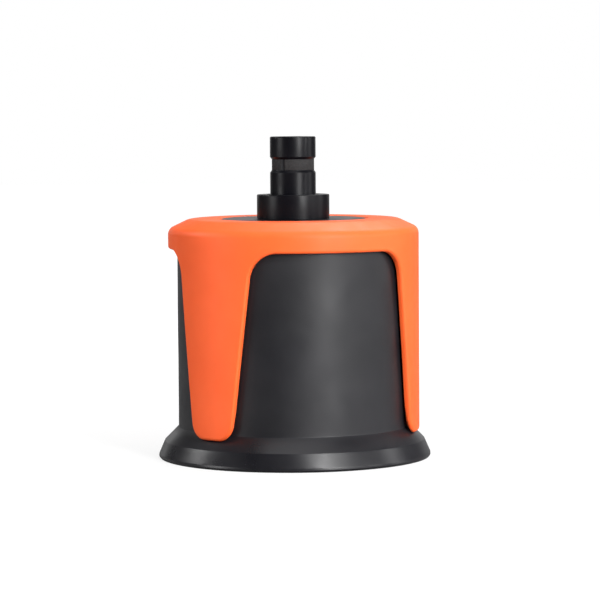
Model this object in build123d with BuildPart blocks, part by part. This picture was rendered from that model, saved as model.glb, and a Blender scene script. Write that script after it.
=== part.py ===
"""Deep-bell vacuum suction cup with a three-legged guard and a sprung, swivelling plug-in stem.

Units are millimetres. The origin is the centre of the lip's contact plane and +Z runs up the stem.
Heights named *_Z are measured from the contact plane, and angles are in degrees from +X.
"""

import os
from math import hypot

from build123d import *

# ---- driving dimensions -------------------------------------------------------------------
BELL_R = 46.4            # outside of the bell's wall
BELL_WALL = 4.2
BELL_TOP_Z = 89.9        # top face of the bell, under the guard
BELL_ROOF = 4.5          # thickness of the bell's roof
LIP_R = 54.4             # widest circle of the lip
LIP_ROOT_Z = 12.6        # where the lip flares out of the wall
LIP_RIDGE_R = 52.0       # ridge between the lip's two bands
LIP_RIDGE_Z = 7.0

GUARD_R = 50.0
GUARD_WALL = 2.6
GUARD_TOP_Z = 95.3
GUARD_SHOULDER_Z = 91.4  # foot of the slope round the top, before the knee is rounded
GUARD_FLAT_R = 41.7      # rim of the flat top
GUARD_MOUTH_R = 29.2     # hole in the top, round the hub's flange
GUARD_TURN = -11.3       # direction of the first leg
GUARD_KNEE = 3.5         # rounding between the wall and the slope
GUARD_BROW = 6.0         # rounding between the slope and the flat top
GUARD_LIP = 1.3          # rounding of the mouth's edge
ARCH_Z = 83.5            # top edge of the three windows
LEG_TIP_Z = 10.6
LEG_COUNT = 3
LEG_TIP_HALF = 10.0      # half width of a leg at its tip, before the corners are rounded
LEG_ROOT_HALF = 19.5     # half width of a leg at the arch
LEG_TIP_ROUND = 7.0
LEG_TIP_RELIEF = 2.0     # bevel inside the tip, over the lip's flare
ARCH_ROUND = 11.5

FLANGE_R = 28.9          # the hub's flange, the disc inside the guard's mouth
FLANGE_TOP_Z = 95.2
FLANGE_T = 3.0
HUB_R = 14.0             # tube below the flange
HUB_BORE_R = 11.2
HUB_FOOT_Z = 53.4
COLLAR_R = 14.45
COLLAR_TOP_Z = 104.8
SPIGOT_R = 12.4          # the collar's threaded end
BUSH_R = 10.6
STEM_R = 9.1             # lower land of the stem
HEAD_R = 9.12            # upper land
FOOT_R = 10.9            # flange that keeps the stem in
GROOVE_R = 8.46          # bottom of the locking groove
GROOVE_LOW_Z = 113.5     # the groove's flanks run 113.5-114.4 and 118.9-119.7
GROOVE_FLOOR_Z = 114.4
GROOVE_ROOF_Z = 118.9
GROOVE_HIGH_Z = 119.7
STEM_TOP_Z = 127.8
STEM_BORE_R = 6.0
PLUG_R = 6.9
TAP_R = 3.4              # core hole of the M8 thread in the plug
POST_WIDTH = 1.5         # the ribs between the stem's three windows
POST_COUNT = 3
POST_TURN = 1.0
SPRING_R = 9.2           # mean radius of the coil
WIRE_R = 0.8
SPRING_TURNS = 6

SCREW_COUNT = 6
CLAMP_SCREW_R = 2.0      # M4
CLAMP_CIRCLE_R = 22.5
LINER_SCREW_R = 1.5      # M3
LINER_CIRCLE_R = 35.0
CLAMP_PLATE_R = 40.0
CLAMP_PLATE_T = 4.0
LINER_R = 41.8
LINER_WALL = 2.4
LINER_SLOTS = 16
LINER_SLOT_W = 6.0
GRID_Z = 13.6            # underside of the grid in the cup's mouth
GRID_T = 2.6
GRID_PITCH = 5.2         # from one ring of the grid to the next
GRID_BAR = 2.3
GRID_RINGS = 7
GRID_SPOKES = 12

SLIP = 0.05              # radial clearance of running, plugged and threaded pieces
FACE_GAP = 0.02          # between flat faces of bodies that move on each other

# ---- heights that follow from them --------------------------------------------------------
roof_z = BELL_TOP_Z - BELL_ROOF                    # underside of the bell's roof
plate_z = roof_z - CLAMP_PLATE_T                   # underside of the clamp plate
flange_z = FLANGE_TOP_Z - FLANGE_T                 # underside of the hub's flange
spigot_z = flange_z - 3.0                          # lower end of the collar's spigot
washer_z = spigot_z - 1.4                          # underside of the stop washer
foot_z = washer_z - 4.0                            # underside of the stem's foot
seat_z = foot_z - 2.0                              # underside of the spring seat
snap_z = HUB_FOOT_Z + 1.5                          # underside of the snap ring
retainer_z = snap_z + 1.1                          # underside of the spring retainer
spring_z = retainer_z + 2.5                        # lower end of the spring
bush_z = spigot_z + 1.5                            # lower end of the guide bush
wiper_z = COLLAR_TOP_Z - 2.2                       # underside of the wiper
bell_bore_r = BELL_R - BELL_WALL

os.makedirs("parts", exist_ok=True)


def half_section(*points):
    """Face in the XZ plane from (radius, height) points, to be turned about Z."""
    with BuildSketch(Plane.XZ) as section:
        with BuildLine():
            Polyline(*points, close=True)
        make_face()
    return section.sketch


def turned_ring(inner, outer, low, high):
    """Half section of a plain ring."""
    return half_section((inner, low), (outer, low), (outer, high), (inner, high))


def circles_at(part, height, least, most):
    """Circular edges at one height whose radius lies between two limits."""
    circles = part.edges().filter_by(GeomType.CIRCLE)
    level = circles.filter_by(lambda e: abs(e.center().Z - height) < 0.01)
    return level.filter_by(lambda e: least < e.radius < most)


def finish(part, name):
    """Labels a finished piece and writes it as its own STEP file."""
    part.label = name
    export_step(part, f"parts/{name}.step")


# ---- the rubber bell, with its roof and flared lip in one moulding --------------------------
def make_bell():
    shoulder = 4.4
    flare_in_r = bell_bore_r + 0.4
    ridge_in_r = LIP_RIDGE_R - 3.6
    edge_out_r = LIP_R - 0.6
    edge_in_r = edge_out_r - 1.8
    with BuildPart() as bell:
        profile = half_section(
            (HUB_R + 0.1, roof_z),
            (bell_bore_r, roof_z),
            (bell_bore_r, LIP_ROOT_Z + 1.0),
            (flare_in_r, LIP_ROOT_Z),
            (ridge_in_r, LIP_RIDGE_Z),
            (edge_in_r, 0),
            (edge_out_r, 0),
            (LIP_R, 0.6),
            (LIP_R, 1.4),
            (LIP_RIDGE_R, LIP_RIDGE_Z),
            (BELL_R, LIP_ROOT_Z),
            (BELL_R, BELL_TOP_Z - shoulder),
            (BELL_R - shoulder, BELL_TOP_Z),
            (HUB_R + 0.1, BELL_TOP_Z),
        )
        revolve(profile, axis=Axis.Z)
        fillet(circles_at(bell.part, BELL_TOP_Z - shoulder, BELL_R - 1, BELL_R + 1), 2.0)
        with Locations(Plane.XY.offset(BELL_TOP_Z)):
            with PolarLocations(CLAMP_CIRCLE_R, SCREW_COUNT):
                Hole(CLAMP_SCREW_R + 0.2, BELL_ROOF + 1)
    finish(bell.part, "bell")


# ---- the guard: a cap with a clamped seat and three tapering legs ---------------------------
def make_guard():
    inner = GUARD_R - GUARD_WALL
    slope = (GUARD_TOP_Z - GUARD_SHOULDER_Z) / (GUARD_R - GUARD_FLAT_R)
    inner_shoulder_z = GUARD_SHOULDER_Z + GUARD_WALL * (slope - hypot(1, slope))
    inner_top_z = GUARD_TOP_Z - GUARD_WALL
    inner_flat_r = inner - (inner_top_z - inner_shoulder_z) / slope
    mouth_wall_r = GUARD_MOUTH_R + GUARD_WALL
    seat_bore_r = HUB_R + 3.0

    with BuildPart() as legs:
        with BuildSketch(Plane.YZ):
            with BuildLine():
                half = FilletPolyline(
                    (0, LEG_TIP_Z),
                    (LEG_TIP_HALF, LEG_TIP_Z),
                    (LEG_ROOT_HALF, ARCH_Z),
                    (GUARD_R, ARCH_Z),
                    (GUARD_R, ARCH_Z + 1),
                    (0, ARCH_Z + 1),
                    radius=(LEG_TIP_ROUND, ARCH_ROUND, 0.1, 0.1),
                )
                mirror(half, about=Plane.YZ)
            make_face()
        extrude(amount=GUARD_R + 10)
    with BuildPart() as reach:
        with PolarLocations(0, LEG_COUNT):
            add(legs.part)
        with BuildSketch(Plane.XY.offset(ARCH_Z)):
            Circle(GUARD_R + 10)
        extrude(amount=GUARD_TOP_Z - ARCH_Z + 5)

    with BuildPart() as guard:
        profile = half_section(
            (GUARD_R, LEG_TIP_Z),
            (GUARD_R, GUARD_SHOULDER_Z),
            (GUARD_FLAT_R, GUARD_TOP_Z),
            (GUARD_MOUTH_R, GUARD_TOP_Z),
            (GUARD_MOUTH_R, flange_z),
            (seat_bore_r, flange_z),
            (seat_bore_r, BELL_TOP_Z),
            (mouth_wall_r, BELL_TOP_Z),
            (mouth_wall_r, inner_top_z),
            (inner_flat_r, inner_top_z),
            (inner, inner_shoulder_z),
            (inner, LEG_TIP_Z + LEG_TIP_RELIEF),
            (inner + LEG_TIP_RELIEF, LEG_TIP_Z),
        )
        revolve(profile, axis=Axis.Z)
        knee = circles_at(guard.part, GUARD_SHOULDER_Z, GUARD_R - 1, GUARD_R + 1)
        fillet(knee, GUARD_KNEE)
        brow = circles_at(guard.part, GUARD_TOP_Z, GUARD_FLAT_R - 3, GUARD_FLAT_R + 3)
        fillet(brow, GUARD_BROW)
        mouth = circles_at(guard.part, GUARD_TOP_Z, GUARD_MOUTH_R - 1, GUARD_MOUTH_R + 1)
        fillet(mouth, GUARD_LIP)
        with Locations(Plane.XY.offset(flange_z)):
            with PolarLocations(CLAMP_CIRCLE_R, SCREW_COUNT):
                Hole(CLAMP_SCREW_R + 0.3, 4)
        add(reach.part.rotate(Axis.Z, GUARD_TURN), mode=Mode.INTERSECT)
    finish(guard.part, "guard")


# ---- hub, collar and what they hold ---------------------------------------------------------
def make_hub():
    with BuildPart() as hub:
        profile = half_section(
            (SPIGOT_R + SLIP, FLANGE_TOP_Z),
            (SPIGOT_R + SLIP, spigot_z - FACE_GAP),
            (HUB_BORE_R, spigot_z - FACE_GAP),
            (HUB_BORE_R, retainer_z + SLIP),
            (HUB_BORE_R + 0.7, retainer_z + SLIP),
            (HUB_BORE_R + 0.7, snap_z - SLIP),
            (HUB_BORE_R, snap_z - SLIP),
            (HUB_BORE_R, HUB_FOOT_Z),
            (HUB_R, HUB_FOOT_Z),
            (HUB_R, flange_z),
            (FLANGE_R, flange_z),
            (FLANGE_R, FLANGE_TOP_Z),
        )
        revolve(profile, axis=Axis.Z)
        chamfer(circles_at(hub.part, FLANGE_TOP_Z, FLANGE_R - 1, FLANGE_R + 1), 0.5)
        chamfer(circles_at(hub.part, HUB_FOOT_Z, HUB_R - 1, HUB_R + 1), 0.8)
        with BuildSketch(Plane.XY.offset(flange_z)):
            with PolarLocations(CLAMP_CIRCLE_R, SCREW_COUNT):
                Circle(CLAMP_SCREW_R + SLIP)
        extrude(amount=FLANGE_T - 0.6, mode=Mode.SUBTRACT)
    finish(hub.part, "hub")


def make_collar():
    seal_pocket = 0.9
    with BuildPart() as collar:
        profile = half_section(
            (STEM_R + 0.2, spigot_z),
            (SPIGOT_R, spigot_z),
            (SPIGOT_R, FLANGE_TOP_Z + seal_pocket),
            (SPIGOT_R + 1.2, FLANGE_TOP_Z + seal_pocket),
            (SPIGOT_R + 1.2, FLANGE_TOP_Z),
            (COLLAR_R, FLANGE_TOP_Z),
            (COLLAR_R, COLLAR_TOP_Z),
            (BUSH_R, COLLAR_TOP_Z),
            (BUSH_R, bush_z),
            (STEM_R + 0.2, bush_z),
        )
        revolve(profile, axis=Axis.Z)
        fillet(circles_at(collar.part, COLLAR_TOP_Z, COLLAR_R - 1, COLLAR_R + 1), 0.5)
    finish(collar.part, "collar")

    with BuildPart() as seal:
        with Locations((0, 0, FLANGE_TOP_Z + seal_pocket / 2)):
            Torus(SPIGOT_R + 0.6, seal_pocket / 2 - 0.02)
    finish(seal.part, "collar_seal")

    with BuildPart() as bush:
        revolve(turned_ring(STEM_R + SLIP, BUSH_R, bush_z, wiper_z), axis=Axis.Z)
    finish(bush.part, "guide_bush")

    with BuildPart() as wiper:
        profile = half_section(
            (HEAD_R + FACE_GAP, wiper_z + 1.0),
            (STEM_R + 0.5, wiper_z),
            (BUSH_R, wiper_z),
            (BUSH_R, COLLAR_TOP_Z - 0.3),
            (STEM_R + 0.7, COLLAR_TOP_Z - 0.3),
            (HEAD_R + FACE_GAP, COLLAR_TOP_Z),
        )
        revolve(profile, axis=Axis.Z)
    finish(wiper.part, "wiper")

    with BuildPart() as washer:
        high = spigot_z - FACE_GAP
        revolve(turned_ring(STEM_R + 0.2, HUB_BORE_R - 0.1, washer_z, high), axis=Axis.Z)
    finish(washer.part, "stop_washer")


# ---- the stem, which plugs into a quick-change socket ---------------------------------------
def make_stem():
    foot_top_z = washer_z - FACE_GAP
    seal_mid_z = (foot_z + foot_top_z) / 2
    seal_r = 0.85
    seal_groove_r = HUB_BORE_R - SLIP - 2 * seal_r
    plug_z = GROOVE_HIGH_Z + 1.0
    window_h = GROOVE_ROOF_Z - GROOVE_FLOOR_Z
    with BuildPart() as stem:
        profile = half_section(
            (STEM_BORE_R, foot_z),
            (FOOT_R, foot_z),
            (FOOT_R, seal_mid_z - 1.0),
            (seal_groove_r - SLIP, seal_mid_z - 1.0),
            (seal_groove_r - SLIP, seal_mid_z + 1.0),
            (FOOT_R, seal_mid_z + 1.0),
            (FOOT_R, foot_top_z),
            (STEM_R, foot_top_z),
            (STEM_R, GROOVE_LOW_Z),
            (GROOVE_R, GROOVE_FLOOR_Z),
            (GROOVE_R, GROOVE_ROOF_Z),
            (HEAD_R, GROOVE_HIGH_Z),
            (HEAD_R, STEM_TOP_Z),
            (PLUG_R + SLIP, STEM_TOP_Z),
            (PLUG_R + SLIP, plug_z),
            (STEM_BORE_R, plug_z),
        )
        revolve(profile, axis=Axis.Z)
        fillet(circles_at(stem.part, STEM_TOP_Z, HEAD_R - 0.1, HEAD_R + 0.1), 0.5)
        with BuildSketch(Plane.XY.offset(GROOVE_FLOOR_Z)):
            Circle(STEM_R)
            with PolarLocations(GROOVE_R, POST_COUNT, start_angle=POST_TURN):
                Rectangle(2 * (GROOVE_R - 1), POST_WIDTH, mode=Mode.SUBTRACT)
        extrude(amount=window_h, mode=Mode.SUBTRACT)
    finish(stem.part, "stem")

    with BuildPart() as pads:
        with BuildSketch(Plane.XY.offset(GROOVE_FLOOR_Z + FACE_GAP)):
            Circle(GROOVE_R - 0.08)
            Circle(STEM_BORE_R + 0.1, mode=Mode.SUBTRACT)
            with PolarLocations(GROOVE_R, POST_COUNT, start_angle=POST_TURN):
                Rectangle(2 * (GROOVE_R - 1), POST_WIDTH + 2 * SLIP, mode=Mode.SUBTRACT)
        extrude(amount=window_h - 2 * FACE_GAP)
    finish(pads.part, "filter_pads")

    plug_top_z = STEM_TOP_Z - 0.5
    plug_floor_z = plug_z + 1.2
    with BuildPart() as plug:
        profile = half_section(
            (0, plug_z),
            (PLUG_R, plug_z),
            (PLUG_R, plug_top_z),
            (TAP_R, plug_top_z),
            (TAP_R, plug_floor_z),
            (0, plug_floor_z),
        )
        revolve(profile, axis=Axis.Z)
        chamfer(circles_at(plug.part, plug_top_z, TAP_R - 0.1, TAP_R + 0.1), 0.6)
    finish(plug.part, "head_plug")

    with BuildPart() as seal:
        with Locations((0, 0, seal_mid_z)):
            Torus(seal_groove_r + seal_r, seal_r)
    finish(seal.part, "stem_seal")


# ---- the buffer spring under the stem -------------------------------------------------------
def make_spring():
    with BuildPart() as seat:
        revolve(turned_ring(STEM_BORE_R + 1, FOOT_R, seat_z, foot_z - FACE_GAP), axis=Axis.Z)
        revolve(turned_ring(STEM_BORE_R + 1, SPRING_R - WIRE_R - 0.3, seat_z - 2, seat_z), axis=Axis.Z)
    finish(seat.part, "spring_seat")

    coil_h = seat_z - spring_z - 2 * WIRE_R - 2 * FACE_GAP
    with BuildPart() as spring:
        with BuildLine(Plane.XY.offset(spring_z + WIRE_R + FACE_GAP)) as path:
            Helix(pitch=coil_h / SPRING_TURNS, height=coil_h, radius=SPRING_R)
        with BuildSketch(Plane(path.line @ 0, z_dir=path.line % 0)):
            Circle(WIRE_R)
        sweep(path=path.line, is_frenet=True)
    finish(spring.part, "buffer_spring")

    with BuildPart() as retainer:
        revolve(turned_ring(STEM_BORE_R + 1, HUB_BORE_R - 0.1, retainer_z, spring_z), axis=Axis.Z)
    finish(retainer.part, "spring_retainer")

    ring_out_r = HUB_BORE_R + 0.6
    ring_in_r = HUB_BORE_R - 1.6
    with BuildPart() as snap:
        revolve(turned_ring(ring_in_r, ring_out_r, snap_z, retainer_z), axis=Axis.Z)
        with BuildSketch(Plane.XY.offset(snap_z)):
            with Locations((-HUB_BORE_R, 0)):
                Rectangle(2 * HUB_BORE_R - ring_in_r, 7)
        extrude(amount=2, mode=Mode.SUBTRACT)
    finish(snap.part, "snap_ring")


# ---- what clamps the bell and holds it open -------------------------------------------------
def make_clamp():
    with BuildPart() as plate:
        revolve(turned_ring(HUB_R + SLIP, CLAMP_PLATE_R, plate_z, roof_z), axis=Axis.Z)
        chamfer(circles_at(plate.part, roof_z, CLAMP_PLATE_R - 1, CLAMP_PLATE_R + 1), 1.0)
        with BuildSketch(Plane.XY.offset(plate_z)):
            with PolarLocations(CLAMP_CIRCLE_R, SCREW_COUNT):
                Circle(CLAMP_SCREW_R + 0.2)
            with PolarLocations(LINER_CIRCLE_R, SCREW_COUNT, start_angle=30):
                Circle(LINER_SCREW_R + SLIP)
        extrude(amount=CLAMP_PLATE_T, mode=Mode.SUBTRACT)
    finish(plate.part, "clamp_plate")
    make_screws("clamp_screws", CLAMP_SCREW_R, CLAMP_CIRCLE_R, 0, plate_z, FLANGE_TOP_Z - 0.7)


def make_screws(name, shank_r, circle_r, start, seat, tip):
    """A ring of pan-head hexagon-socket screws, driven up from below against the height seat."""
    head_r = 1.75 * shank_r
    head_h = 1.15 * shank_r
    with BuildPart() as screws:
        with BuildSketch(Plane.XY.offset(seat - head_h)):
            with PolarLocations(circle_r, SCREW_COUNT, start_angle=start):
                Circle(head_r)
        extrude(amount=head_h)
        with BuildSketch(Plane.XY.offset(seat)):
            with PolarLocations(circle_r, SCREW_COUNT, start_angle=start):
                Circle(shank_r)
        extrude(amount=tip - seat)
        with BuildSketch(Plane.XY.offset(seat - head_h)):
            with PolarLocations(circle_r, SCREW_COUNT, start_angle=start):
                RegularPolygon(0.65 * shank_r, 6)
        extrude(amount=0.7 * head_h, mode=Mode.SUBTRACT)
        chamfer(screws.faces().sort_by(Axis.Z)[:SCREW_COUNT].edges().filter_by(GeomType.CIRCLE), 0.3)
    finish(screws.part, name)


def make_liner():
    """Slotted tube that holds the bell open. The grid in the cup's mouth snaps into its lower end."""
    bore_r = LINER_R - LINER_WALL
    flange_t = 2.5
    lower_z = GRID_Z + GRID_T
    slot_low_z = lower_z + 7
    slot_high_z = plate_z - 10
    with BuildPart() as slots:
        with BuildSketch(Plane.YZ):
            with Locations((0, (slot_low_z + slot_high_z) / 2)):
                SlotOverall(slot_high_z - slot_low_z, LINER_SLOT_W, rotation=90)
        extrude(amount=LINER_R + 5)
    with BuildPart() as liner:
        profile = half_section(
            (bore_r, lower_z),
            (LINER_R, lower_z),
            (LINER_R, plate_z),
            (LINER_CIRCLE_R - 4, plate_z),
            (LINER_CIRCLE_R - 4, plate_z - flange_t),
            (bore_r, plate_z - flange_t),
        )
        revolve(profile, axis=Axis.Z)
        with BuildSketch(Plane.XY.offset(plate_z - flange_t)):
            with PolarLocations(LINER_CIRCLE_R, SCREW_COUNT, start_angle=30):
                Circle(LINER_SCREW_R + 0.2)
        extrude(amount=flange_t, mode=Mode.SUBTRACT)
        with PolarLocations(0, LINER_SLOTS):
            add(slots.part, mode=Mode.SUBTRACT)
    finish(liner.part, "support_liner")
    make_screws("liner_screws", LINER_SCREW_R, LINER_CIRCLE_R, 30, plate_z - flange_t, roof_z - 0.6)


def make_grid():
    """Flat grid of rings and spokes. Its gaps are narrower than a fingertip."""
    rim_in_r = GRID_RINGS * GRID_PITCH
    snap_out_r = LINER_R - LINER_WALL - SLIP
    with BuildPart() as grid:
        profile = half_section(
            (0, GRID_Z),
            (LINER_R - 1.0, GRID_Z),
            (LINER_R, GRID_Z + 1.0),
            (LINER_R, GRID_Z + GRID_T),
            (snap_out_r, GRID_Z + GRID_T),
            (snap_out_r, GRID_Z + GRID_T + 3.0),
            (snap_out_r - 1.6, GRID_Z + GRID_T + 3.0),
            (snap_out_r - 1.6, GRID_Z + GRID_T),
            (0, GRID_Z + GRID_T),
        )
        revolve(profile, axis=Axis.Z)
        with BuildSketch(Plane.XY.offset(GRID_Z)):
            for ring in range(GRID_RINGS, 0, -1):
                Circle(ring * GRID_PITCH)
                Circle((ring - 1) * GRID_PITCH + GRID_BAR, mode=Mode.SUBTRACT)
            with PolarLocations(0, GRID_SPOKES // 2, angular_range=180):
                Rectangle(2 * rim_in_r + 1, GRID_BAR, mode=Mode.SUBTRACT)
        extrude(amount=GRID_T, mode=Mode.SUBTRACT)
    finish(grid.part, "cup_grid")


make_bell()
make_guard()
make_hub()
make_collar()
make_stem()
make_spring()
make_clamp()
make_liner()
make_grid()
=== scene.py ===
"""The look of the vacuum suction cup: lathe and grid meshes in code, procedural materials, studio light.

Profiles are written in millimetres in the part's own frame, as (radius, height, corner radius).
"""

import math

import bmesh
import bpy
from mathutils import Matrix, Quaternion, Vector, noise


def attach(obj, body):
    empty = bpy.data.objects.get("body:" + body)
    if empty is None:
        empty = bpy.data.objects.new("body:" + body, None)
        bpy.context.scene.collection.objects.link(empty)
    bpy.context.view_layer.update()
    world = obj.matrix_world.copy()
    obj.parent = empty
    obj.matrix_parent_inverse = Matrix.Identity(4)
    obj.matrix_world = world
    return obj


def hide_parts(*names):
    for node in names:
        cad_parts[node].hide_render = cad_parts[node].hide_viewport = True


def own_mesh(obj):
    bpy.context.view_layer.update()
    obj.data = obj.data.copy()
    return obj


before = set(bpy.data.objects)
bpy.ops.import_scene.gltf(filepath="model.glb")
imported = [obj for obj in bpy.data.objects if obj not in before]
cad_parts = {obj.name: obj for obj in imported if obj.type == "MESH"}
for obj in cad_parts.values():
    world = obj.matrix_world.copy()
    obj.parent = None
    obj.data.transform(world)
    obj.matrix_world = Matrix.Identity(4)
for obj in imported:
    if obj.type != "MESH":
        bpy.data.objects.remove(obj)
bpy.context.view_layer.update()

MM = 0.001
ROUND_STEPS = 7          # facets in each rounded corner of a profile
SEGMENTS = 288           # facets round a large turned piece
SMALL_SEGMENTS = 144
PLUG_SEGMENTS = 96
MIX_A, MIX_B, MIX_RESULT = 6, 7, 2   # colour sockets of a mix node

# ---- the part's driving sizes, mm and degrees -----------------------------------------------
BELL_R = 46.4
BELL_BORE_R = 42.2
BELL_TOP_Z = 89.9
ROOF_Z = 85.4
LIP_ROOT_Z = 12.6
LIP_RIDGE_R = 52.0
LIP_RIDGE_Z = 7.0
LIP_R = 54.4

GUARD_R = 50.0
GUARD_IN_R = 47.4
GUARD_TOP_Z = 95.3
GUARD_SHOULDER_Z = 91.4
GUARD_FLAT_R = 41.7
GUARD_MOUTH_R = 29.2
GUARD_KNEE = 3.5
GUARD_BROW = 6.0
GUARD_LIP = 1.3
GUARD_SEAT_R = 17.0      # bore of the guard's clamped seat
GUARD_TURN = math.radians(-11.3)
LEG_COUNT = 3
ARCH_Z = 83.5
LEG_TIP_Z = 10.6
LEG_TIP_HALF = 10.0
LEG_ROOT_HALF = 19.5
LEG_TIP_ROUND = 7.0
LEG_TIP_RELIEF = 2.0     # height of the bevel inside a leg's tip
ARCH_ROUND = 11.5
GUARD_EDGE = 1.15        # rounding of the guard's outer edges
GUARD_INNER_EDGE = 0.6
INNER_EDGE_DEPTH = 0.7   # depth of the inner edge's rounding, over its height
RELIEF_RISE = 12.0       # height over which the tip's bevel fades out
EDGE_ARC_STEPS = 22      # facets in each rounded corner of a leg's outline
EDGE_STEP = 1.1          # longest facet along a leg's outline

FLANGE_R = 28.9
FLANGE_Z = 92.2
FLANGE_TOP_Z = 95.2
HUB_R = 14.0
HUB_BORE_R = 11.2
HUB_FOOT_Z = 53.4
SNAP_Z = 54.9
RETAINER_Z = 56.0
SNAP_GROOVE = 0.7
SPIGOT_R = 12.4
SPIGOT_Z = 89.2
COLLAR_R = 14.45
COLLAR_TOP_Z = 104.8
BUSH_R = 10.6
BUSH_Z = 90.7
WIPER_Z = 102.6
STEM_R = 9.1
HEAD_R = 9.12
FOOT_R = 10.9
FOOT_Z = 83.8
FOOT_TOP_Z = 87.78
GROOVE_R = 8.46
GROOVE_LOW_Z = 113.5
GROOVE_FLOOR_Z = 114.4
GROOVE_ROOF_Z = 118.9
GROOVE_HIGH_Z = 119.7
STEM_TOP_Z = 127.8
STEM_BORE_R = 6.0
PLUG_R = 6.9
PLUG_Z = 120.7
TAP_R = 3.4
POST_WIDTH = 1.5
POST_COUNT = 3
POST_TURN = math.radians(1.0)
SPRING_Z = 58.5
SEAT_Z = 81.8
SPRING_R = 9.2
WIRE_R = 0.8
SPRING_TURNS = 6
SEAL_GROOVE_R = 9.4
SEAL_GROOVE_HALF = 1.0
SLIP = 0.05              # radial clearance of plugged and threaded pieces
FACE_GAP = 0.02          # between flat faces of bodies that move on each other


# ---- studio, metres and radians, with the lens in mm ------------------------------------------
LIGHT_AIM_Z = 0.05       # height on the axis that every softbox faces
CAMERA_PLACE = Vector((0.00247, -1.0991, 0.1390))
CAMERA_TARGET = Vector((0.00247, 0.0, 0.06247))
CAMERA_ROLL = -0.007
CAMERA_LENS = 165.3


# ---- meshes ---------------------------------------------------------------------------------
def rounded(corners, closed=True, steps=ROUND_STEPS):
    """Polyline through (r, z, corner radius) points, with an arc at each corner that has a radius."""
    points = []
    count = len(corners)
    for i, corner in enumerate(corners):
        here = Vector(corner[:2])
        radius = corner[2] if len(corner) > 2 else 0.0
        end = not closed and i in (0, count - 1)
        if radius <= 0 or end:
            points.append(here)
            continue
        before = (Vector(corners[i - 1][:2]) - here).normalized()
        after = (Vector(corners[(i + 1) % count][:2]) - here).normalized()
        half = math.acos(max(-1.0, min(1.0, before.dot(after)))) / 2
        reach = radius / math.tan(half)
        centre = here + (before + after).normalized() * (radius / math.sin(half))
        first = here + before * reach - centre
        last = here + after * reach - centre
        turn = first.angle_signed(last)
        for k in range(steps + 1):
            angle = -turn * k / steps
            c, s = math.cos(angle), math.sin(angle)
            points.append(centre + Vector((c * first.x - s * first.y, s * first.x + c * first.y)))
    return points


def refined(points, step):
    """The closed polyline with its long runs cut into pieces of about step."""
    out = []
    for i, here in enumerate(points):
        there = points[(i + 1) % len(points)]
        pieces = max(1, round((there - here).length / step))
        for k in range(pieces):
            out.append(here.lerp(there, k / pieces))
    return out


def new_object(name, vertices, faces, sharp=math.radians(38)):
    mesh = bpy.data.meshes.new(name)
    mesh.from_pydata(vertices, [], faces)
    mesh.validate()
    obj = bpy.data.objects.new(name, mesh)
    bpy.context.scene.collection.objects.link(obj)
    tidy_normals(obj, sharp)
    return obj


def tidy_normals(obj, sharp=math.radians(38)):
    """Faces turned outwards, smooth shading, and hard edges only where the surface turns sharply."""
    work = bmesh.new()
    work.from_mesh(obj.data)
    bmesh.ops.remove_doubles(work, verts=work.verts, dist=1e-7)
    bmesh.ops.recalc_face_normals(work, faces=work.faces)
    for face in work.faces:
        face.smooth = True
    for edge in work.edges:
        edge.smooth = len(edge.link_faces) == 2 and edge.calc_face_angle(0) < sharp
    work.to_mesh(obj.data)
    work.free()


def lathe(name, corners, segments=SMALL_SEGMENTS, step=1000.0):
    """A closed solid turned about Z. Corners on the axis close it with a fan."""
    outline = refined(rounded(corners), step)
    vertices = []
    rings = []
    for point in outline:
        if point.x < 1e-6:
            rings.append([len(vertices)] * segments)
            vertices.append((0.0, 0.0, point.y * MM))
            continue
        rings.append(list(range(len(vertices), len(vertices) + segments)))
        for k in range(segments):
            a = math.tau * k / segments
            vertices.append((point.x * math.cos(a) * MM, point.x * math.sin(a) * MM, point.y * MM))
    faces = []
    for i, ring in enumerate(rings):
        above = rings[(i + 1) % len(rings)]
        if ring[0] == ring[1] and above[0] == above[1]:
            continue
        for k in range(segments):
            n = (k + 1) % segments
            corner_loop = [ring[k], ring[n], above[n], above[k]]
            face = [v for j, v in enumerate(corner_loop) if v not in corner_loop[:j]]
            if len(face) > 2:
                faces.append(face)
    return new_object(name, vertices, faces)


def sector_ring(name, inner, outer, low, high, openings, steps, soft):
    """Curved blocks between two radii, one for each (first angle, last angle), with softened edges."""
    vertices = []
    faces = []
    for first, last in openings:
        base = len(vertices)
        for k in range(steps + 1):
            a = first + (last - first) * k / steps
            for r, z in ((inner, low), (outer, low), (outer, high), (inner, high)):
                vertices.append((r * math.cos(a) * MM, r * math.sin(a) * MM, z * MM))
        for k in range(steps):
            for j in range(4):
                a, b = base + 4 * k + j, base + 4 * k + (j + 1) % 4
                faces.append((a, b, b + 4, a + 4))
        faces.append(tuple(base + j for j in range(4)))
        faces.append(tuple(base + 4 * steps + j for j in range(4)))
    obj = new_object(name, vertices, faces)
    bevel(obj, soft)
    return obj


def bevel(obj, width):
    modifier = obj.modifiers.new("softened_edges", "BEVEL")
    modifier.width = width * MM
    modifier.segments = 2
    modifier.limit_method = "ANGLE"
    modifier.angle_limit = math.radians(40)
    apply_modifiers(obj)


def apply_modifiers(obj):
    graph = bpy.context.evaluated_depsgraph_get()
    mesh = bpy.data.meshes.new_from_object(obj.evaluated_get(graph))
    obj.modifiers.clear()
    obj.data = mesh
    tidy_normals(obj)


def cut(obj, tool):
    modifier = obj.modifiers.new("cut", "BOOLEAN")
    modifier.operation = "DIFFERENCE"
    modifier.solver = "EXACT"
    modifier.object = tool
    apply_modifiers(obj)
    bpy.data.objects.remove(tool)


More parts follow.
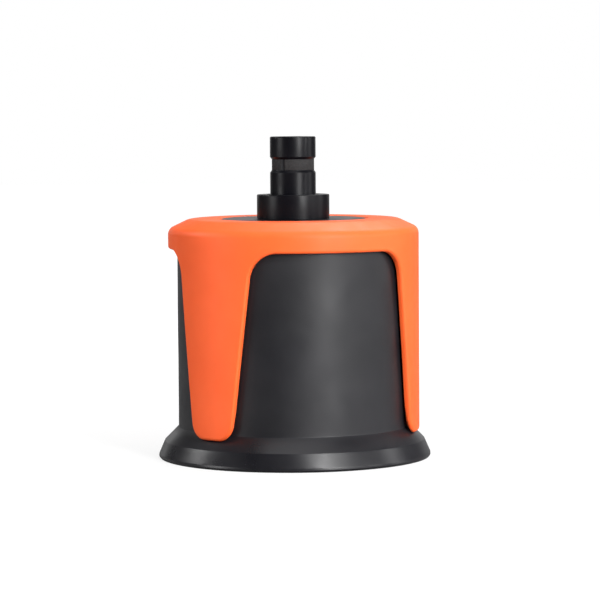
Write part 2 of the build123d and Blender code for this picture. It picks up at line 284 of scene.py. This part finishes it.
def helix_tube(name, low, high, radius, wire, turns, per_turn=60, sides=18):
    """Round wire wound into a coil, with a flat end at each side."""
    total = turns * per_turn
    rise = (high - low - 2 * wire) / total
    pitch = (high - low - 2 * wire) / turns
    slope = math.atan2(pitch, math.tau * radius)
    vertices = []
    faces = []
    for i in range(total + 1):
        a = math.tau * i / per_turn
        out = Vector((math.cos(a), math.sin(a), 0))
        along = Vector((-math.sin(a) * math.cos(slope), math.cos(a) * math.cos(slope), math.sin(slope)))
        up = out.cross(along)
        centre = out * radius + Vector((0, 0, low + wire + rise * i))
        for k in range(sides):
            b = math.tau * k / sides
            vertices.append((centre + (out * math.cos(b) + up * math.sin(b)) * wire) * MM)
    for i in range(total):
        for k in range(sides):
            n = (k + 1) % sides
            faces.append((i * sides + k, i * sides + n, (i + 1) * sides + n, (i + 1) * sides + k))
    faces.append(tuple(range(sides)))
    faces.append(tuple(range(total * sides, (total + 1) * sides)))
    return new_object(name, vertices, faces)


# ---- materials ------------------------------------------------------------------------------
class Material:
    """A principled material whose detail comes from object-space noise."""

    def __init__(self, name, colour, roughness, metallic=0.0, specular=0.5):
        self.material = bpy.data.materials.new(name)
        self.material.use_nodes = True
        self.nodes = self.material.node_tree.nodes
        self.links = self.material.node_tree.links
        self.shader = self.nodes["Principled BSDF"]
        self.shader.inputs["Base Color"].default_value = (*colour, 1)
        self.shader.inputs["Roughness"].default_value = roughness
        self.shader.inputs["Metallic"].default_value = metallic
        self.shader.inputs["Specular IOR Level"].default_value = specular
        self.place = self.nodes.new("ShaderNodeTexCoord")

    def stretched(self, scale):
        mapping = self.nodes.new("ShaderNodeMapping")
        mapping.inputs["Scale"].default_value = scale
        self.links.new(self.place.outputs["Object"], mapping.inputs["Vector"])
        return mapping.outputs["Vector"]

    def noise(self, scale, detail=3.0, stretch=(1, 1, 1)):
        node = self.nodes.new("ShaderNodeTexNoise")
        node.inputs["Scale"].default_value = scale
        node.inputs["Detail"].default_value = detail
        self.links.new(self.stretched(stretch), node.inputs["Vector"])
        return node.outputs["Fac"]

    def cells(self, scale):
        node = self.nodes.new("ShaderNodeTexVoronoi")
        node.inputs["Scale"].default_value = scale
        self.links.new(self.stretched((1, 1, 1)), node.inputs["Vector"])
        return node.outputs["Distance"]

    def spread(self, value, low, high, from_low=0.3, from_high=0.7):
        node = self.nodes.new("ShaderNodeMapRange")
        node.inputs["From Min"].default_value = from_low
        node.inputs["From Max"].default_value = from_high
        node.inputs["To Min"].default_value = low
        node.inputs["To Max"].default_value = high
        self.links.new(value, node.inputs["Value"])
        return node.outputs["Result"]

    def vary_roughness(self, value, low, high):
        self.links.new(self.spread(value, low, high), self.shader.inputs["Roughness"])

    def polish_below(self, low, high, factor):
        """Multiplies the roughness by factor under a height, and leaves it alone above another."""
        parts = self.nodes.new("ShaderNodeSeparateXYZ")
        self.links.new(self.place.outputs["Object"], parts.inputs["Vector"])
        product = self.nodes.new("ShaderNodeMath")
        product.operation = "MULTIPLY"
        rough = self.shader.inputs["Roughness"].links[0].from_socket
        self.links.new(rough, product.inputs[0])
        self.links.new(self.spread(parts.outputs["Z"], factor, 1.0, low, high), product.inputs[1])
        self.links.new(product.outputs["Value"], self.shader.inputs["Roughness"])

    def vary_colour(self, value, dark, light, from_low=0.3, from_high=0.7):
        node = self.nodes.new("ShaderNodeMix")
        node.data_type = "RGBA"
        node.inputs[MIX_A].default_value = (*dark, 1)
        node.inputs[MIX_B].default_value = (*light, 1)
        self.links.new(self.spread(value, 0, 1, from_low, from_high), node.inputs[0])
        self.links.new(node.outputs[MIX_RESULT], self.shader.inputs["Base Color"])

    def bumps(self, *layers):
        """Each layer is (height value, distance in mm)."""
        normal = None
        for value, distance in layers:
            node = self.nodes.new("ShaderNodeBump")
            node.inputs["Strength"].default_value = 1.0
            node.inputs["Distance"].default_value = distance * MM
            self.links.new(value, node.inputs["Height"])
            if normal:
                self.links.new(normal, node.inputs["Normal"])
            normal = node.outputs["Normal"]
        self.links.new(normal, self.shader.inputs["Normal"])


def orange_plastic():
    m = Material("orange_plastic", (0.90, 0.118, 0.026), 0.48, specular=0.2)
    m.vary_colour(m.noise(60), (0.88, 0.112, 0.023), (0.93, 0.124, 0.028))
    m.vary_roughness(m.noise(140), 0.44, 0.54)
    m.bumps((m.noise(2600, 2), 0.006), (m.noise(90, 2), 0.02))
    m.shader.inputs["Subsurface Weight"].default_value = 0.06
    m.shader.inputs["Subsurface Radius"].default_value = (1.0, 0.25, 0.08)
    m.shader.inputs["Subsurface Scale"].default_value = 0.002
    return m.material


def bell_rubber():
    m = Material("bell_rubber", (0.008, 0.0077, 0.0095), 0.45, specular=0.36)
    m.vary_colour(m.noise(38, 5), (0.0055, 0.0054, 0.0072), (0.0115, 0.0112, 0.0138))
    m.vary_roughness(m.noise(52, 6), 0.36, 0.56)
    m.polish_below(low=0.0105, high=0.0125, factor=0.68)
    m.bumps((m.noise(1900, 3), 0.010), (m.noise(240, 3), 0.015), (m.noise(40, 2), 0.06))
    return m.material


def black_anodised():
    m = Material("black_anodised", (0.0030, 0.0030, 0.0045), 0.34, specular=0.14)
    m.vary_roughness(m.noise(160, 4), 0.28, 0.38)
    m.bumps((m.noise(900, 2, (0.02, 0.02, 1)), 0.0035), (m.noise(3000, 2), 0.0015))
    return m.material


def filter_grey():
    m = Material("filter_grey", (0.026, 0.026, 0.027), 0.75, specular=0.2)
    m.vary_colour(m.cells(3600), (0.036, 0.036, 0.037), (0.012, 0.012, 0.0125), 0.1, 0.8)
    m.bumps((m.cells(3600), 0.10))
    return m.material


def steel():
    m = Material("bright_steel", (0.55, 0.55, 0.56), 0.3, metallic=1.0)
    m.vary_roughness(m.noise(400, 4), 0.24, 0.40)
    m.bumps((m.noise(1200, 3), 0.004))
    return m.material


def bronze():
    m = Material("sintered_bronze", (0.50, 0.30, 0.14), 0.45, metallic=1.0)
    m.vary_colour(m.noise(700, 4), (0.40, 0.23, 0.10), (0.56, 0.35, 0.17))
    m.vary_roughness(m.noise(900, 4), 0.36, 0.55)
    m.bumps((m.cells(5000), 0.01))
    return m.material


def seal_rubber():
    m = Material("seal_rubber", (0.012, 0.012, 0.013), 0.45, specular=0.5)
    m.vary_roughness(m.noise(700, 3), 0.38, 0.52)
    m.bumps((m.noise(2400, 2), 0.004))
    return m.material


def liner_plastic():
    m = Material("liner_plastic", (0.045, 0.047, 0.052), 0.55, specular=0.4)
    m.vary_colour(m.noise(120, 4), (0.040, 0.042, 0.047), (0.052, 0.054, 0.060))
    m.vary_roughness(m.noise(220, 4), 0.48, 0.62)
    m.bumps((m.noise(1800, 2), 0.012))
    return m.material


def plate_metal():
    m = Material("plate_metal", (0.56, 0.56, 0.57), 0.35, metallic=1.0)
    m.vary_roughness(m.noise(500, 3), 0.30, 0.42)
    m.bumps((m.noise(1500, 2), 0.004))
    return m.material


MATERIALS = {
    "guard_orange": orange_plastic(),
    "bell_rubber": bell_rubber(),
    "stem_black": black_anodised(),
    "filter_grey": filter_grey(),
    "bright_steel": steel(),
    "plate_aluminium": plate_metal(),
    "bush_bronze": bronze(),
    "seal_rubber": seal_rubber(),
    "liner_plastic": liner_plastic(),
}


def dress(obj, slot_name, body, *nodes):
    """Gives a piece its material, slot and body, and says which CAD nodes it stands for."""
    obj.data.materials.clear()
    obj.data.materials.append(MATERIALS[slot_name])
    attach(obj, body)
    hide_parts(*nodes)


# ---- the bell -------------------------------------------------------------------------------
def make_uneven(bell):
    """Lets the moulded wall sway by a few hundredths of a millimetre, in broad and in small waves."""
    waves = ((45.0, 0.07), (160.0, 0.025))
    fade = 3.0
    for vertex in bell.data.vertices:
        radius = math.hypot(vertex.co.x, vertex.co.y)
        height = vertex.co.z / MM
        if LIP_ROOT_Z < height < BELL_TOP_Z - 5 and radius > (BELL_R - 1) * MM:
            sway = sum(noise.noise(vertex.co * scale) * depth for scale, depth in waves)
            edge = min(1.0, (height - LIP_ROOT_Z) / fade)
            shift = 1 + sway * edge * MM / radius
            vertex.co.x *= shift
            vertex.co.y *= shift


def make_bell():
    bore = HUB_R + 0.1
    shoulder = 4.4
    bell = lathe(
        "rubber_bell",
        [
            (bore, ROOF_Z),
            (BELL_BORE_R, ROOF_Z, 1.5),
            (BELL_BORE_R, LIP_ROOT_Z + 1.0, 1.0),
            (LIP_RIDGE_R - 3.4, LIP_RIDGE_Z, 2.0),
            (LIP_R - 2.4, 0, 0.35),
            (LIP_R - 0.6, 0, 0.25),
            (LIP_R, 0.75, 0.5),
            (LIP_R - 0.1, 1.7, 0.5),
            (LIP_RIDGE_R, LIP_RIDGE_Z, 0.5),
            (BELL_R, LIP_ROOT_Z, 0.4),
            (BELL_R, BELL_TOP_Z - shoulder, 3.0),
            (BELL_R - shoulder, BELL_TOP_Z, 3.0),
            (bore, BELL_TOP_Z),
        ],
        SEGMENTS,
        step=1.5,
    )
    make_uneven(bell)
    dress(bell, "bell_rubber", "cup", "bell")


# ---- the guard ------------------------------------------------------------------------------
def leg_edge():
    """The guard's lower edge over half a sector, from a leg's middle to the middle of the arch.

    Points are (distance round the wall, height).
    """
    sector_half = math.pi / LEG_COUNT * GUARD_R
    corners = [
        (0.0, LEG_TIP_Z),
        (LEG_TIP_HALF, LEG_TIP_Z, LEG_TIP_ROUND),
        (LEG_ROOT_HALF, ARCH_Z, ARCH_ROUND),
        (sector_half, ARCH_Z),
    ]
    return fine_path(corners)


def fine_path(corners):
    """Open path through the corners, with finely faceted arcs and no facet longer than EDGE_STEP."""
    path = rounded(corners, closed=False, steps=EDGE_ARC_STEPS)
    out = []
    for here, there in zip(path, path[1:]):
        pieces = max(1, math.ceil((there - here).length / EDGE_STEP))
        for k in range(pieces):
            out.append(here.lerp(there, k / pieces))
    out.append(path[-1])
    return out


def inward_directions(path):
    """Unit vectors across the path, pointing up into the wall."""
    found = []
    for i in range(len(path)):
        before = path[max(0, i - 1)]
        after = path[min(len(path) - 1, i + 1)]
        along = (after - before).normalized()
        found.append(Vector((-along.y, along.x)))
    return found


def guard_cap():
    """The guard's section from the outer wall over the top, down the mouth and back to the inner wall."""
    slope = (GUARD_TOP_Z - GUARD_SHOULDER_Z) / (GUARD_R - GUARD_FLAT_R)
    wall = GUARD_R - GUARD_IN_R
    in_shoulder = GUARD_SHOULDER_Z + wall * (slope - math.hypot(1, slope))
    in_top = GUARD_TOP_Z - wall
    in_flat_r = GUARD_IN_R - (in_top - in_shoulder) / slope
    corners = [
        (GUARD_R, GUARD_SHOULDER_Z - 5),
        (GUARD_R, GUARD_SHOULDER_Z, GUARD_KNEE),
        (GUARD_FLAT_R, GUARD_TOP_Z, GUARD_BROW),
        (GUARD_MOUTH_R, GUARD_TOP_Z, GUARD_LIP),
        (GUARD_MOUTH_R, FLANGE_Z),
        (GUARD_SEAT_R, FLANGE_Z),
        (GUARD_SEAT_R, BELL_TOP_Z),
        (GUARD_MOUTH_R + wall, BELL_TOP_Z),
        (GUARD_MOUTH_R + wall, in_top, 0.8),
        (in_flat_r, in_top, 4.0),
        (GUARD_IN_R, in_shoulder, 1.5),
        (GUARD_IN_R, GUARD_SHOULDER_Z - 5),
    ]
    return rounded(corners, closed=False)


def guard_column(edge, across, cap):
    """One closed loop of (radius, distance round, height), from the lower edge over the cap and back."""
    wall_rows = 48
    edge_steps = 8
    column = []
    for k in range(edge_steps + 1):
        a = math.pi / 2 * k / edge_steps
        point = edge + across * (GUARD_EDGE * (1 - math.cos(a)))
        column.append((GUARD_R - GUARD_EDGE * (1 - math.sin(a)), point.x, point.y))
    outer = edge + across * GUARD_EDGE
    for k in range(1, wall_rows):
        t = k / wall_rows
        column.append((GUARD_R, outer.x, outer.y + (cap[0].y - outer.y) * t))
    for point in cap:
        column.append((point.x, outer.x, point.y))
    relief = max(0.0, 1.0 - (edge.y - LEG_TIP_Z) / RELIEF_RISE)
    rise = GUARD_INNER_EDGE + (LEG_TIP_RELIEF - GUARD_INNER_EDGE) * relief
    inner = edge + across * rise
    for k in range(1, wall_rows):
        t = 1 - k / wall_rows
        column.append((GUARD_IN_R, inner.x, inner.y + (cap[-1].y - inner.y) * t))
    for k in range(edge_steps + 1):
        t = k / edge_steps
        a = math.pi / 2 * (1 - t)
        up = relief * (1 - t) + (1 - relief) * (1 - math.cos(a))
        out = relief * t + (1 - relief) * (1 - math.sin(a))
        point = edge + across * (rise * up)
        column.append((GUARD_IN_R + rise * INNER_EDGE_DEPTH * out, point.x, point.y))
    return column


def make_guard():
    path = leg_edge()
    inward = inward_directions(path)
    inward[0] = Vector((0, 1))
    inward[-1] = Vector((0, 1))
    cap = guard_cap()
    half = [guard_column(edge, across, cap) for edge, across in zip(path, inward)]
    loops = [(-1, column) for column in half[:0:-1]] + [(1, column) for column in half[:-1]]
    vertices = []
    for leg in range(LEG_COUNT):
        centre = GUARD_TURN + math.tau * leg / LEG_COUNT
        for side, loop in loops:
            for radius, around, height in loop:
                a = centre + side * around / GUARD_R
                vertices.append((radius * math.cos(a) * MM, radius * math.sin(a) * MM, height * MM))
    rows = len(loops[0][1])
    total = len(loops) * LEG_COUNT
    faces = []
    for i in range(total):
        n = (i + 1) % total
        for k in range(rows):
            up = (k + 1) % rows
            faces.append((i * rows + k, n * rows + k, n * rows + up, i * rows + up))
    guard = new_object("guard_moulding", vertices, faces, math.radians(60))
    dress(guard, "guard_orange", "cup", "guard")


# ---- hub and collar -------------------------------------------------------------------------
def make_hub():
    hub = lathe(
        "hub_body",
        [
            (SPIGOT_R + SLIP, FLANGE_TOP_Z),
            (SPIGOT_R + SLIP, SPIGOT_Z - FACE_GAP),
            (HUB_BORE_R, SPIGOT_Z - FACE_GAP),
            (HUB_BORE_R, RETAINER_Z + SLIP),
            (HUB_BORE_R + SNAP_GROOVE, RETAINER_Z + SLIP),
            (HUB_BORE_R + SNAP_GROOVE, SNAP_Z - SLIP),
            (HUB_BORE_R, SNAP_Z - SLIP),
            (HUB_BORE_R, HUB_FOOT_Z, 0.3),
            (HUB_R, HUB_FOOT_Z, 0.8),
            (HUB_R, FLANGE_Z),
            (FLANGE_R, FLANGE_Z, 0.2),
            (FLANGE_R, FLANGE_TOP_Z, 0.5),
        ],
        SEGMENTS,
    )
    dress(hub, "stem_black", "cup", "hub")

    seal_pocket = 0.9
    seal_wall_r = SPIGOT_R + 1.2
    collar = lathe(
        "collar_nut",
        [
            (STEM_R + 0.2, SPIGOT_Z),
            (SPIGOT_R, SPIGOT_Z, 0.3),
            (SPIGOT_R, FLANGE_TOP_Z + seal_pocket),
            (seal_wall_r, FLANGE_TOP_Z + seal_pocket),
            (seal_wall_r, FLANGE_TOP_Z),
            (COLLAR_R, FLANGE_TOP_Z, 0.15),
            (COLLAR_R, COLLAR_TOP_Z, 0.4),
            (BUSH_R, COLLAR_TOP_Z, 0.25),
            (BUSH_R, BUSH_Z),
            (STEM_R + 0.2, BUSH_Z),
        ],
        SMALL_SEGMENTS,
    )
    dress(collar, "stem_black", "cup", "collar")

    wiper = lathe(
        "wiper_ring",
        [
            (HEAD_R + FACE_GAP, WIPER_Z + 1.0),
            (STEM_R + 0.5, WIPER_Z),
            (BUSH_R - 0.01, WIPER_Z),
            (BUSH_R - 0.01, COLLAR_TOP_Z - 0.3, 0.1),
            (STEM_R + 0.7, COLLAR_TOP_Z - 0.3, 0.2),
            (HEAD_R + 0.1, COLLAR_TOP_Z - FACE_GAP, 0.08),
        ],
    )
    dress(wiper, "seal_rubber", "cup", "wiper")


# ---- stem -----------------------------------------------------------------------------------
def window_angles(slack):
    """The three openings between the posts, as angle pairs, each narrowed by slack mm a side."""
    half = math.asin((POST_WIDTH / 2 + slack) / GROOVE_R)
    found = []
    pitch = math.tau / POST_COUNT
    for k in range(POST_COUNT):
        post = POST_TURN + pitch * k
        found.append((post + half, post + pitch - half))
    return found


def make_stem():
    mid = (FOOT_Z + FOOT_TOP_Z) / 2
    stem = lathe(
        "stem_body",
        [
            (STEM_BORE_R, FOOT_Z, 0.2),
            (FOOT_R, FOOT_Z, 0.3),
            (FOOT_R, mid - SEAL_GROOVE_HALF),
            (SEAL_GROOVE_R, mid - SEAL_GROOVE_HALF),
            (SEAL_GROOVE_R, mid + SEAL_GROOVE_HALF),
            (FOOT_R, mid + SEAL_GROOVE_HALF),
            (FOOT_R, FOOT_TOP_Z, 0.2),
            (STEM_R, FOOT_TOP_Z),
            (STEM_R, GROOVE_LOW_Z, 0.15),
            (GROOVE_R, GROOVE_FLOOR_Z, 0.2),
            (GROOVE_R, GROOVE_ROOF_Z, 0.2),
            (HEAD_R, GROOVE_HIGH_Z, 0.15),
            (HEAD_R, STEM_TOP_Z, 0.55),
            (PLUG_R + SLIP, STEM_TOP_Z, 0.2),
            (PLUG_R + SLIP, PLUG_Z),
            (STEM_BORE_R, PLUG_Z),
        ],
        SMALL_SEGMENTS,
    )
    tool = sector_ring(
        "window_tool",
        STEM_BORE_R - 1,
        GROOVE_R + 1,
        GROOVE_FLOOR_Z + SLIP,
        GROOVE_ROOF_Z - SLIP,
        window_angles(0),
        steps=40,
        soft=0.1,
    )
    cut(stem, tool)
    dress(stem, "stem_black", "stem", "stem")

    pads = sector_ring(
        "porous_pads",
        STEM_BORE_R + 0.1,
        GROOVE_R - 0.08,
        GROOVE_FLOOR_Z + SLIP + FACE_GAP,
        GROOVE_ROOF_Z - SLIP - FACE_GAP,
        window_angles(0.06),
        steps=48,
        soft=0.12,
    )
    dress(pads, "filter_grey", "stem", "filter_pads")

    plug_top = STEM_TOP_Z - 0.5
    plug_floor = PLUG_Z + 1.2
    countersink = 0.6
    plug = lathe(
        "head_plug_body",
        [
            (0, PLUG_Z),
            (PLUG_R, PLUG_Z, 0.2),
            (PLUG_R, plug_top, 0.25),
            (TAP_R + countersink, plug_top, 0.1),
            (TAP_R, plug_top - countersink, 0.1),
            (TAP_R, plug_floor),
            (0, plug_floor),
        ],
        PLUG_SEGMENTS,
    )
    dress(plug, "stem_black", "stem", "head_plug")


# ---- buffer ---------------------------------------------------------------------------------
def make_spring():
    low, high = SPRING_Z + FACE_GAP, SEAT_Z - FACE_GAP
    spring = helix_tube("coil_spring", low, high, SPRING_R, WIRE_R, SPRING_TURNS)
    dress(spring, "bright_steel", "cup", "buffer_spring")
    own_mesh(spring)


# ---- the CAD nodes that are shown as they are -------------------------------------------------
def dress_cad_nodes():
    plain = {
        "collar_seal": "seal_rubber",
        "stem_seal": "seal_rubber",
        "guide_bush": "bush_bronze",
        "stop_washer": "bright_steel",
        "spring_seat": "bright_steel",
        "spring_retainer": "bright_steel",
        "snap_ring": "bright_steel",
        "clamp_plate": "plate_aluminium",
        "clamp_screws": "bright_steel",
        "liner_screws": "bright_steel",
        "support_liner": "liner_plastic",
        "cup_grid": "liner_plastic",
    }
    for node, slot_name in plain.items():
        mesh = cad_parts[node].data
        mesh.materials.clear()
        mesh.materials.append(MATERIALS[slot_name])


make_bell()
make_guard()
make_hub()
make_stem()
make_spring()
dress_cad_nodes()


# ---- studio ---------------------------------------------------------------------------------
def make_floor():
    """Pale floor that is lit softly but seen almost white through an emission, with a painted shadow: the
    emission dims close to the cup.
    """
    reach = 4.0
    corners = [(-reach, -reach, 0), (reach, -reach, 0), (reach, reach, 0), (-reach, reach, 0)]
    near, far = 0.05, 0.6
    # painted shadow: the floor's emission is 0.80 close to the cup and 1.0 far off
    painted_shadow_glow, far_glow = 0.80, 1.0
    mesh = bpy.data.meshes.new("floor")
    mesh.from_pydata(corners, [], [(0, 1, 2, 3)])
    floor = bpy.data.objects.new("floor", mesh)
    bpy.context.scene.collection.objects.link(floor)
    m = Material("pale_floor", (0.25, 0.25, 0.25), 0.6, specular=0.2)
    m.vary_roughness(m.noise(30, 3), 0.55, 0.65)
    seen = m.nodes.new("ShaderNodeEmission")
    seen.inputs["Color"].default_value = (1, 1, 1, 1)
    length = m.nodes.new("ShaderNodeVectorMath")
    length.operation = "LENGTH"
    m.links.new(m.place.outputs["Object"], length.inputs[0])
    # painted contact shadow: emission strength grows with distance from the cup
    glow = m.spread(length.outputs["Value"], painted_shadow_glow, far_glow, near, far)
    m.links.new(glow, seen.inputs["Strength"])
    lit = m.nodes.new("ShaderNodeBsdfDiffuse")
    lit.inputs["Color"].default_value = (0.16, 0.16, 0.16, 1)
    both = m.nodes.new("ShaderNodeAddShader")
    path = m.nodes.new("ShaderNodeLightPath")
    mix = m.nodes.new("ShaderNodeMixShader")
    m.links.new(seen.outputs[0], both.inputs[0])
    m.links.new(lit.outputs[0], both.inputs[1])
    m.links.new(path.outputs["Is Camera Ray"], mix.inputs[0])
    m.links.new(m.shader.outputs[0], mix.inputs[1])
    m.links.new(both.outputs[0], mix.inputs[2])
    m.links.new(mix.outputs[0], m.nodes["Material Output"].inputs["Surface"])
    mesh.materials.append(m.material)


def softbox(name, azimuth, elevation, distance, size, power):
    """Area light aimed at the bell. Azimuth 0 is in front, and a positive one is to the right."""
    light = bpy.data.lights.new(name, "AREA")
    light.shape = "RECTANGLE"
    light.size, light.size_y = size
    light.energy = power
    obj = bpy.data.objects.new(name, light)
    bpy.context.scene.collection.objects.link(obj)
    around, up = math.radians(azimuth), math.radians(elevation)
    away = Vector((math.sin(around) * math.cos(up), -math.cos(around) * math.cos(up), math.sin(up)))
    obj.location = Vector((0, 0, LIGHT_AIM_Z)) + away * distance
    obj.rotation_euler = away.to_track_quat("Z", "Y").to_euler()


def make_lights():
    softbox("key", 33, 16, 1.35, (0.42, 0.6), 22)
    softbox("left_front", -68, 2, 1.3, (0.5, 0.7), 7)
    softbox("lip_spark", 27, 41, 1.3, (0.2, 0.16), 7)
    softbox("right_side", 95, 12, 1.3, (0.3, 0.8), 3.5)
    softbox("stem_glint", 68, 12, 1.3, (0.1, 0.5), 3.2)
    softbox("left_side", -100, 30, 1.3, (0.22, 0.3), 6)
    softbox("top", 10, 80, 1.4, (0.9, 0.9), 5)
    softbox("back_high", 155, 55, 1.4, (0.8, 0.8), 12)
    softbox("backdrop", 180, 9, 1.7, (2.4, 0.5), 2.6)
    world = bpy.data.worlds.new("studio")
    world.use_nodes = True
    background = world.node_tree.nodes["Background"]
    background.inputs["Color"].default_value = (1, 1, 1, 1)
    background.inputs["Strength"].default_value = 0.10
    seen = world.node_tree.nodes.new("ShaderNodeBackground")
    seen.inputs["Color"].default_value = (1, 1, 1, 1)
    seen.inputs["Strength"].default_value = 1.0
    path = world.node_tree.nodes.new("ShaderNodeLightPath")
    mix = world.node_tree.nodes.new("ShaderNodeMixShader")
    links = world.node_tree.links
    links.new(path.outputs["Is Camera Ray"], mix.inputs[0])
    links.new(background.outputs[0], mix.inputs[1])
    links.new(seen.outputs[0], mix.inputs[2])
    links.new(mix.outputs[0], world.node_tree.nodes["World Output"].inputs["Surface"])
    bpy.context.scene.world = world


def make_camera():
    camera = bpy.data.cameras.new("camera")
    camera.sensor_width = 36.0
    camera.lens = CAMERA_LENS
    camera.clip_start = 0.05
    obj = bpy.data.objects.new("camera", camera)
    bpy.context.scene.collection.objects.link(obj)
    obj.location = CAMERA_PLACE
    aim = (CAMERA_TARGET - CAMERA_PLACE).to_track_quat("-Z", "Y")
    obj.rotation_mode = "QUATERNION"
    obj.rotation_quaternion = aim @ Quaternion((0, 0, 1), CAMERA_ROLL)
    bpy.context.scene.camera = obj


make_floor()
make_lights()
make_camera()
bpy.context.scene.view_settings.view_transform = "Standard"
